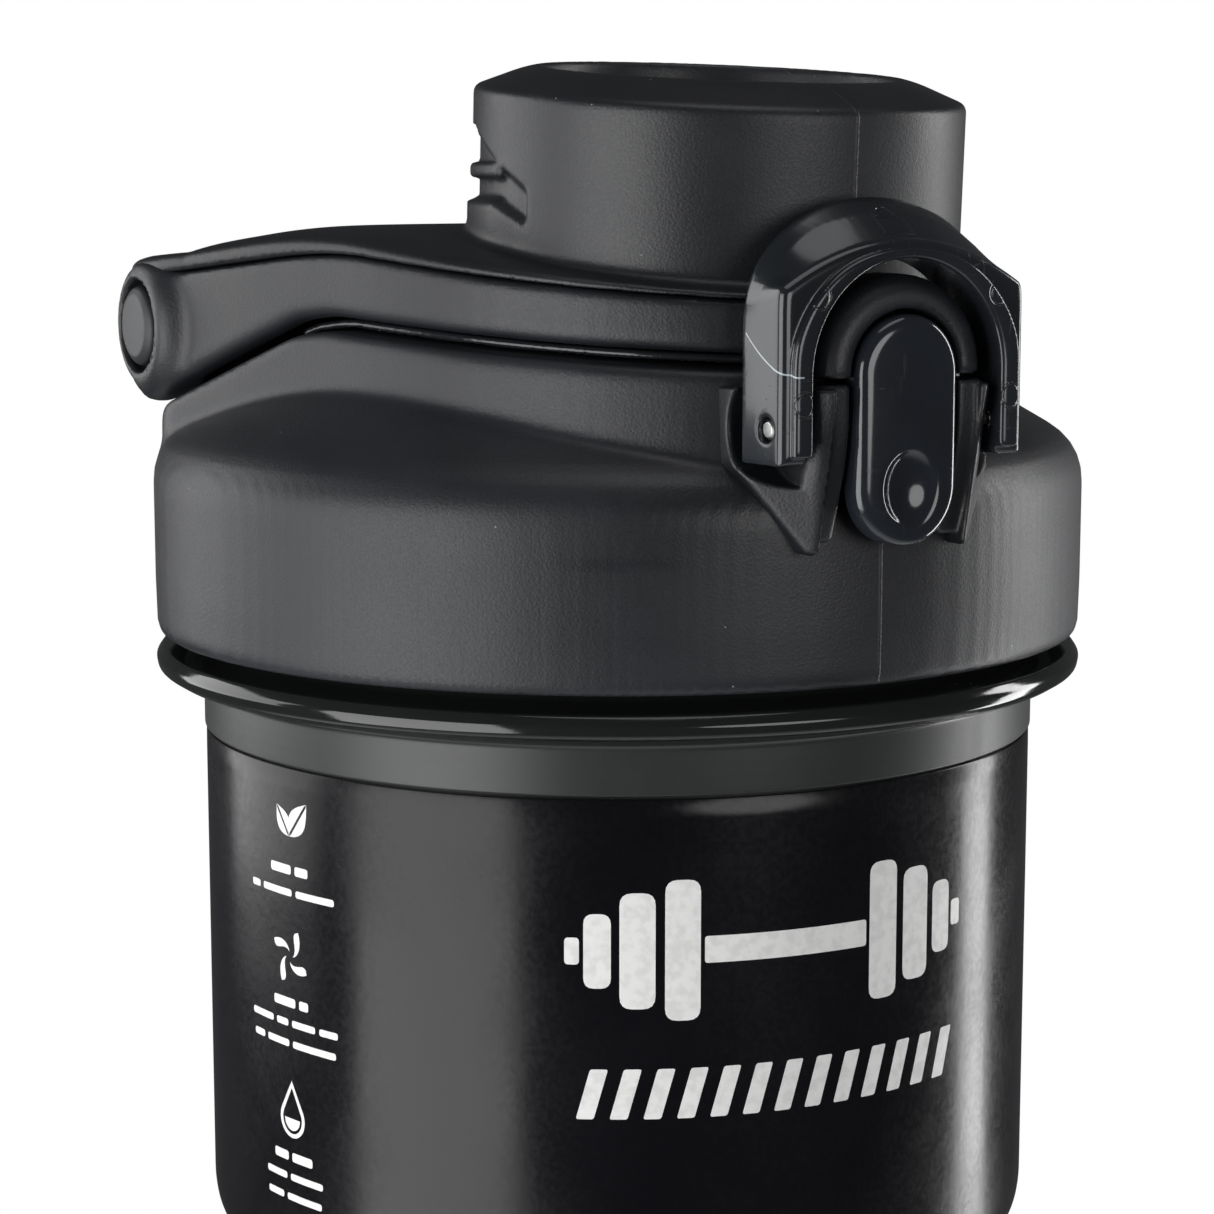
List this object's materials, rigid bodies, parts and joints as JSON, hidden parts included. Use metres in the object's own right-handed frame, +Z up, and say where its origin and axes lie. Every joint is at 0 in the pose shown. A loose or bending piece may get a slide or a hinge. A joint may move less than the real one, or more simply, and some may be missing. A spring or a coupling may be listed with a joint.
{
  "type": "protein shaker bottle",
  "caption": "Shaker bottle with a gripped waist, screw lid, flip cap over the spout with a safety lock and push button, and a mixing ball inside.",
  "frame": {"origin": "centre of the cup's flat base", "axes": "+Z up along the cup, +X towards the lock and button at the front"},
  "size_m": [0.1022, 0.0976, 0.2351],
  "materials": {
    "smoke_plastic": "smoke translucent",
    "printed_film": "gloss printed film",
    "soft_touch": "soft-touch fine leather grain",
    "liner_plastic": "satin moulded",
    "silicone": "matte",
    "spout_gloss": "gloss",
    "soft_touch_frame": "soft-touch fine leather grain",
    "soft_touch_tower": "soft-touch",
    "plug_silicone": "matte",
    "pin_plastic": "satin",
    "bail_gloss": "gloss",
    "button_gloss": "gloss",
    "pin_steel": "turned",
    "spring_steel": "drawn wire",
    "ball_plastic": "satin moulded",
    "paddle_plastic": "satin moulded"
  },
  "bodies": {
    "cup": {"cup_body": "smoke_plastic", "label_sleeve": "printed_film"},
    "lid_carrier": {"lid_thread_liner": "liner_plastic"},
    "lid": {"lid_shell": "soft_touch", "lid_gasket": "silicone", "drinking_spout": "spout_gloss", "hinge_pin_left": "pin_plastic", "hinge_pin_right": "pin_plastic", "latch_pin": "pin_steel", "button_spring": "spring_steel"},
    "flip_cap": {"flip_cap_frame": "soft_touch_frame", "flip_cap_tower": "soft_touch_tower", "spout_plug": "plug_silicone"},
    "lock": {"lock_bail": "bail_gloss"},
    "button": {"release_button": "button_gloss"},
    "mixer_ball": {"mixer_ball_upper_half": "ball_plastic", "mixer_ball_lower_half": "ball_plastic"},
    "paddles": {"mixer_paddle_wheel": "paddle_plastic"}
  },
  "joints": [
    {"name": "lid_lift", "type": "slide", "parent": "cup", "child": "lid_carrier", "axis": [0, 0, 1], "range_m": [0, 0.0181]},
    {"name": "lid_turn", "type": "hinge", "parent": "lid_carrier", "child": "lid", "pos_m": [0, 0, 0.185], "axis": [0, 0, 1], "range_deg": [0, 810]},
    {"name": "flip_cap_hinge", "type": "hinge", "parent": "lid", "child": "flip_cap", "pos_m": [-0.024, 0, 0.2076], "axis": [0, -1, 0], "range_deg": [0, 140]},
    {"name": "lock_swing", "type": "hinge", "parent": "lid", "child": "lock", "pos_m": [0.0498, 0, 0.2011], "axis": [0, 1, 0], "range_deg": [0, 150]},
    {"name": "button_press", "type": "hinge", "parent": "lid", "child": "button", "pos_m": [0.0498, 0, 0.2011], "axis": [0, 1, 0], "range_deg": [0, 8], "stiffness_Nm_per_rad": 0.05, "deforming": ["button_spring"]},
    {"name": "ball_travel", "type": "slide", "parent": "cup", "child": "mixer_ball", "axis": [0, 0, 1], "range_m": [0, 0.13]},
    {"name": "paddle_spin", "type": "hinge", "parent": "mixer_ball", "child": "paddles", "pos_m": [0, 0, 0.0199], "axis": [0, 0, 1], "continuous": true}
  ],
  "couplings": [
    {"joint": "lid_lift", "follows": "lid_turn", "m_per_rad": 0.0012732}
  ]
}
